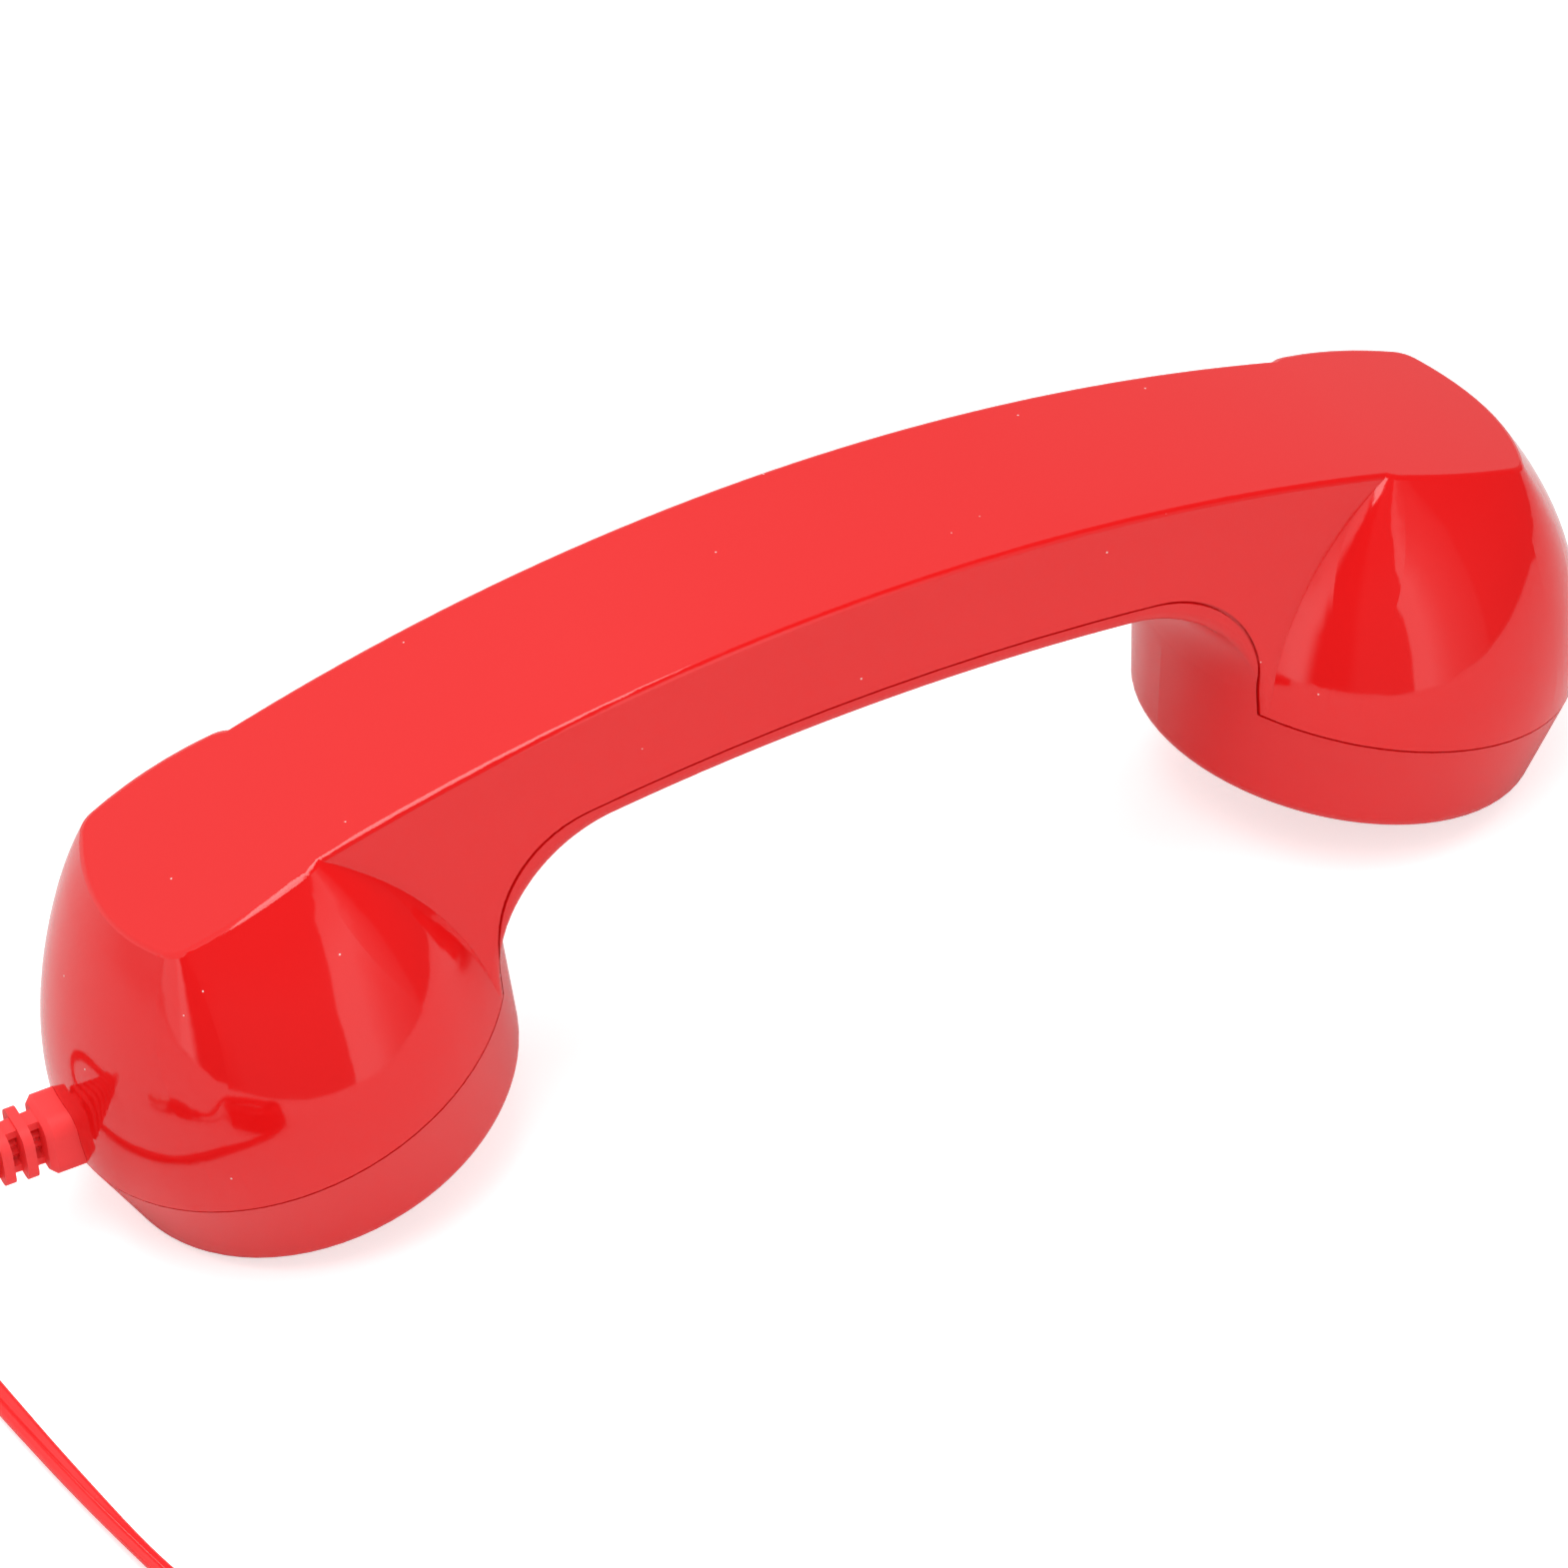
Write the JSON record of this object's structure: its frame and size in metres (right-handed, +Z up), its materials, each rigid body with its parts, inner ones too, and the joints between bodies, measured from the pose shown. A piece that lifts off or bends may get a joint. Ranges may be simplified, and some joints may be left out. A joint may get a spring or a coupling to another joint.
{
  "type": "telephone handset",
  "caption": "Arched retro telephone handset, round ear and mouth cups with domed backs, button inside the grip, thin flat cord to a small jack plug.",
  "frame": {"origin": "bottom centre of the handset lying on both cup rims, the cord and its strain relief left out", "axes": "+X from the mouthpiece to the earpiece, +Z up to the handle's back"},
  "size_m": [0.2766, 0.1553, 0.0664],
  "materials": {
    "shell_red": "high gloss",
    "shell_red_satin": "satin gloss",
    "cap_red": "satin gloss",
    "cloth_black": "fine woven",
    "button_red": "satin gloss",
    "screw_steel": "zinc plated",
    "cord_red": "matte",
    "plug_red": "matte",
    "tie_black": "matte",
    "plug_metal": "polished",
    "insulator_black": "matte",
    "gasket_rubber": "matte",
    "basket_black": "matte",
    "cone_grey": "pressed paper",
    "coil_copper": "enamelled copper wire",
    "iron_grey": "plated",
    "magnet_grey": "sintered",
    "board_green": "solder resist",
    "capsule_metal": "plain",
    "switch_black": "matte",
    "switch_white": "matte",
    "lead_red": "matte",
    "lead_white": "matte"
  },
  "bodies": {
    "handset": {"back_shell": "shell_red", "front_shell": "shell_red_satin", "ear_cap": "cap_red", "mouth_cap": "cap_red", "ear_cloth": "cloth_black", "mouth_cloth": "cloth_black", "case_screws": "screw_steel", "strain_relief": "cord_red", "cord_entry": "cord_red", "cord": "cord_red", "cord_coil": "cord_red", "cord_tail": "cord_red", "cord_tie": "tie_black", "plug_grip": "plug_red", "plug_sleeve": "plug_metal", "plug_rings": "plug_metal", "plug_tip": "plug_metal", "plug_insulators": "insulator_black", "speaker_gasket": "gasket_rubber", "speaker_basket": "basket_black", "speaker_cone": "cone_grey", "speaker_voice_coil": "coil_copper", "speaker_pole_plate": "iron_grey", "speaker_magnet": "magnet_grey", "speaker_yoke": "iron_grey", "speaker_terminal_board": "board_green", "mic_boot": "gasket_rubber", "mic_capsule": "capsule_metal", "mic_board": "board_green", "switch_body": "switch_black", "switch_board": "board_green", "board_screws": "screw_steel", "speaker_leads": "lead_red", "mic_leads": "lead_white", "cord_cores": "lead_red"},
    "button": {"answer_button": "button_red", "switch_plunger": "switch_white"}
  },
  "joints": [
    {"name": "answer_button_press", "type": "slide", "parent": "handset", "child": "button", "axis": [0, 0, 1], "range_m": [0, 0.0005], "stiffness_N_per_m": 1500, "springref_m": -0.0004}
  ]
}
